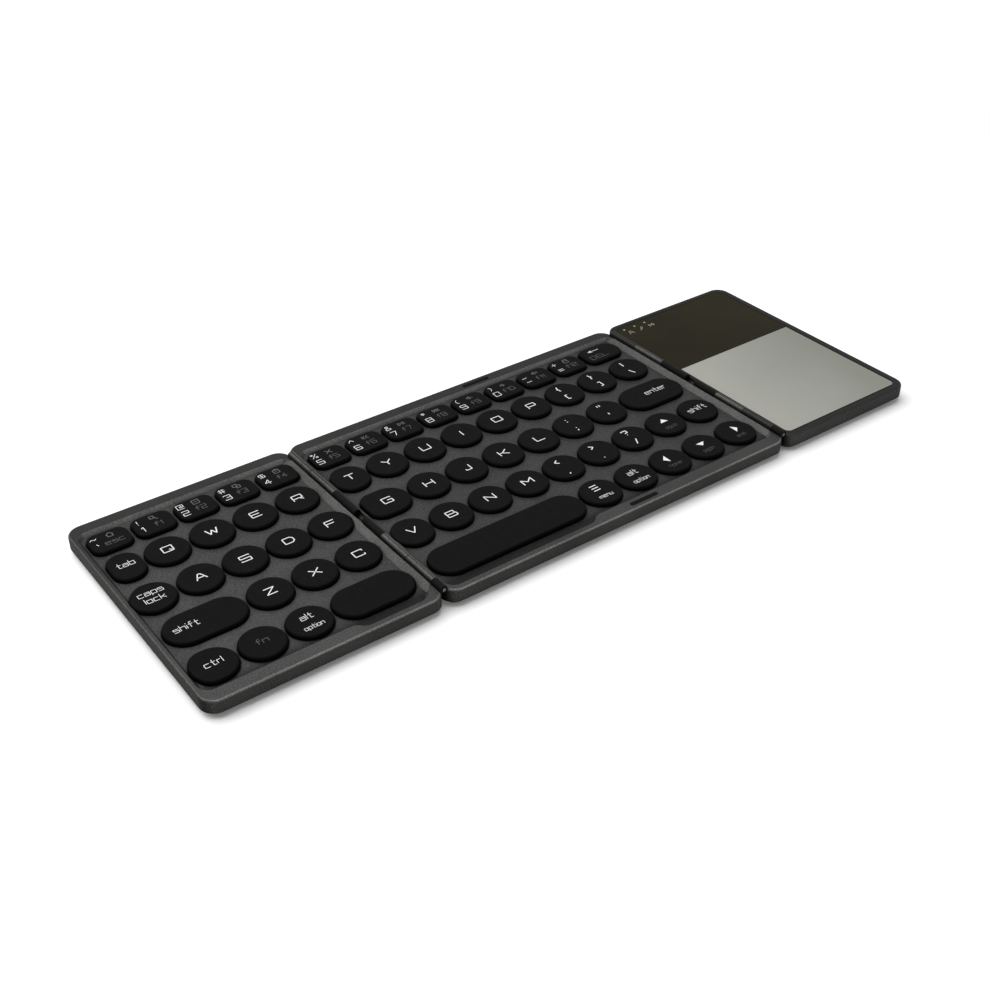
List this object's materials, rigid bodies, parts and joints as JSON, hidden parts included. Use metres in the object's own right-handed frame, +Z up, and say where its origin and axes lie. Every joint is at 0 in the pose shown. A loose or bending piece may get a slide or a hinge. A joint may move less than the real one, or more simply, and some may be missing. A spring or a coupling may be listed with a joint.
{
  "type": "folding keyboard",
  "caption": "Pocket keyboard in three hinged panels: two wings fold up and over the centre panel, with low round keys that travel and a touch plate on the right wing.",
  "frame": {"origin": "centre of the open keyboard's footprint, on the table under its feet", "axes": "+X along the keyboard from the left wing to the right, +Y from the front edge to the back, +Z up"},
  "size_m": [0.2882, 0.1, 0.0086],
  "materials": {
    "casing": "satin gunmetal paint with fine metallic grain",
    "shell": "satin",
    "screw": "satin",
    "rubber": "matt",
    "steel": "brushed",
    "sheet": "satin",
    "silicone": "matt",
    "magnet": "polished",
    "pin": "satin",
    "sleeve": "satin",
    "touch": "polished",
    "board": "satin",
    "light": "polished",
    "battery": "satin",
    "socket": "satin",
    "key": "satin"
  },
  "bodies": {
    "center": {"center_frame": "casing", "center_shell": "shell", "center_screws": "screw", "center_feet": "rubber", "center_base_plate": "steel", "center_switch_sheet": "sheet", "center_dome_mat": "silicone", "center_magnets": "magnet", "left_hinge_center_sleeve": "sleeve", "right_hinge_center_sleeve": "sleeve", "rim_bumpers": "rubber"},
    "left_wing": {"left_frame": "casing", "left_shell": "shell", "left_screws": "screw", "left_feet": "rubber", "left_base_plate": "steel", "left_switch_sheet": "sheet", "left_dome_mat": "silicone", "left_magnets": "magnet", "left_hinge_pins": "pin", "left_hinge_wing_sleeve": "sleeve", "left_hinge_cap": "sleeve"},
    "right_wing": {"right_frame": "casing", "right_shell": "shell", "right_screws": "screw", "right_feet": "rubber", "right_magnets": "magnet", "right_hinge_pins": "pin", "right_hinge_wing_sleeve": "sleeve", "right_hinge_cap": "sleeve", "touch_plate": "touch", "touch_board": "board", "indicator_lights": "light", "battery": "battery", "main_board": "board", "charging_socket": "socket"},
    "left_number_keys": {"left_number_keys": "key"},
    "tab_key": {"tab_key": "key"},
    "left_upper_keys": {"left_upper_keys": "key"},
    "caps_key": {"caps_key": "key"},
    "left_home_keys": {"left_home_keys": "key"},
    "left_shift_key": {"left_shift_key": "key"},
    "left_lower_keys": {"left_lower_keys": "key"},
    "ctrl_key": {"ctrl_key": "key"},
    "left_modifier_keys": {"left_modifier_keys": "key"},
    "left_space_key": {"left_space_key": "key"},
    "center_number_keys": {"center_number_keys": "key"},
    "delete_key": {"delete_key": "key"},
    "center_edge_keys": {"center_edge_keys": "key"},
    "center_upper_keys": {"center_upper_keys": "key"},
    "center_home_keys": {"center_home_keys": "key"},
    "enter_key": {"enter_key": "key"},
    "center_lower_keys": {"center_lower_keys": "key"},
    "up_key": {"up_key": "key"},
    "right_shift_key": {"right_shift_key": "key"},
    "center_space_key": {"center_space_key": "key"},
    "center_modifier_keys": {"center_modifier_keys": "key"},
    "left_arrow_key": {"left_arrow_key": "key"},
    "down_key": {"down_key": "key"},
    "right_arrow_key": {"right_arrow_key": "key"}
  },
  "joints": [
    {"name": "left_fold", "type": "hinge", "parent": "center", "child": "left_wing", "pos_m": [-0.0638, 0, 0.00735], "axis": [0, 1, 0], "range_deg": [0, 180]},
    {"name": "right_fold", "type": "hinge", "parent": "center", "child": "right_wing", "pos_m": [0.081, 0, 0.00735], "axis": [0, -1, 0], "range_deg": [0, 180]},
    {"name": "left_number_keys_press", "type": "slide", "parent": "left_wing", "child": "left_number_keys", "axis": [0, 0, -1], "range_m": [0, 0.0012], "stiffness_N_per_m": 1000, "springref_m": -0.0005},
    {"name": "tab_key_press", "type": "slide", "parent": "left_wing", "child": "tab_key", "axis": [0, 0, -1], "range_m": [0, 0.0012], "stiffness_N_per_m": 200, "springref_m": -0.0005},
    {"name": "left_upper_keys_press", "type": "slide", "parent": "left_wing", "child": "left_upper_keys", "axis": [0, 0, -1], "range_m": [0, 0.0012], "stiffness_N_per_m": 800, "springref_m": -0.0005},
    {"name": "caps_key_press", "type": "slide", "parent": "left_wing", "child": "caps_key", "axis": [0, 0, -1], "range_m": [0, 0.0012], "stiffness_N_per_m": 200, "springref_m": -0.0005},
    {"name": "left_home_keys_press", "type": "slide", "parent": "left_wing", "child": "left_home_keys", "axis": [0, 0, -1], "range_m": [0, 0.0012], "stiffness_N_per_m": 800, "springref_m": -0.0005},
    {"name": "left_shift_key_press", "type": "slide", "parent": "left_wing", "child": "left_shift_key", "axis": [0, 0, -1], "range_m": [0, 0.0012], "stiffness_N_per_m": 200, "springref_m": -0.0005},
    {"name": "left_lower_keys_press", "type": "slide", "parent": "left_wing", "child": "left_lower_keys", "axis": [0, 0, -1], "range_m": [0, 0.0012], "stiffness_N_per_m": 600, "springref_m": -0.0005},
    {"name": "ctrl_key_press", "type": "slide", "parent": "left_wing", "child": "ctrl_key", "axis": [0, 0, -1], "range_m": [0, 0.0012], "stiffness_N_per_m": 200, "springref_m": -0.0005},
    {"name": "left_modifier_keys_press", "type": "slide", "parent": "left_wing", "child": "left_modifier_keys", "axis": [0, 0, -1], "range_m": [0, 0.0012], "stiffness_N_per_m": 400, "springref_m": -0.0005},
    {"name": "left_space_key_press", "type": "slide", "parent": "left_wing", "child": "left_space_key", "axis": [0, 0, -1], "range_m": [0, 0.0012], "stiffness_N_per_m": 200, "springref_m": -0.0005},
    {"name": "center_number_keys_press", "type": "slide", "parent": "center", "child": "center_number_keys", "axis": [0, 0, -1], "range_m": [0, 0.0012], "stiffness_N_per_m": 1600, "springref_m": -0.0005},
    {"name": "delete_key_press", "type": "slide", "parent": "center", "child": "delete_key", "axis": [0, 0, -1], "range_m": [0, 0.0012], "stiffness_N_per_m": 200, "springref_m": -0.0005},
    {"name": "center_edge_keys_press", "type": "slide", "parent": "center", "child": "center_edge_keys", "axis": [0, 0, -1], "range_m": [0, 0.0012], "stiffness_N_per_m": 600, "springref_m": -0.0005},
    {"name": "center_upper_keys_press", "type": "slide", "parent": "center", "child": "center_upper_keys", "axis": [0, 0, -1], "range_m": [0, 0.0012], "stiffness_N_per_m": 1600, "springref_m": -0.0005},
    {"name": "center_home_keys_press", "type": "slide", "parent": "center", "child": "center_home_keys", "axis": [0, 0, -1], "range_m": [0, 0.0012], "stiffness_N_per_m": 1200, "springref_m": -0.0005},
    {"name": "enter_key_press", "type": "slide", "parent": "center", "child": "enter_key", "axis": [0, 0, -1], "range_m": [0, 0.0012], "stiffness_N_per_m": 200, "springref_m": -0.0005},
    {"name": "center_lower_keys_press", "type": "slide", "parent": "center", "child": "center_lower_keys", "axis": [0, 0, -1], "range_m": [0, 0.0012], "stiffness_N_per_m": 1200, "springref_m": -0.0005},
    {"name": "up_key_press", "type": "slide", "parent": "center", "child": "up_key", "axis": [0, 0, -1], "range_m": [0, 0.0012], "stiffness_N_per_m": 200, "springref_m": -0.0005},
    {"name": "right_shift_key_press", "type": "slide", "parent": "center", "child": "right_shift_key", "axis": [0, 0, -1], "range_m": [0, 0.0012], "stiffness_N_per_m": 200, "springref_m": -0.0005},
    {"name": "center_space_key_press", "type": "slide", "parent": "center", "child": "center_space_key", "axis": [0, 0, -1], "range_m": [0, 0.0012], "stiffness_N_per_m": 200, "springref_m": -0.0005},
    {"name": "center_modifier_keys_press", "type": "slide", "parent": "center", "child": "center_modifier_keys", "axis": [0, 0, -1], "range_m": [0, 0.0012], "stiffness_N_per_m": 400, "springref_m": -0.0005},
    {"name": "left_arrow_key_press", "type": "slide", "parent": "center", "child": "left_arrow_key", "axis": [0, 0, -1], "range_m": [0, 0.0012], "stiffness_N_per_m": 200, "springref_m": -0.0005},
    {"name": "down_key_press", "type": "slide", "parent": "center", "child": "down_key", "axis": [0, 0, -1], "range_m": [0, 0.0012], "stiffness_N_per_m": 200, "springref_m": -0.0005},
    {"name": "right_arrow_key_press", "type": "slide", "parent": "center", "child": "right_arrow_key", "axis": [0, 0, -1], "range_m": [0, 0.0012], "stiffness_N_per_m": 200, "springref_m": -0.0005}
  ]
}
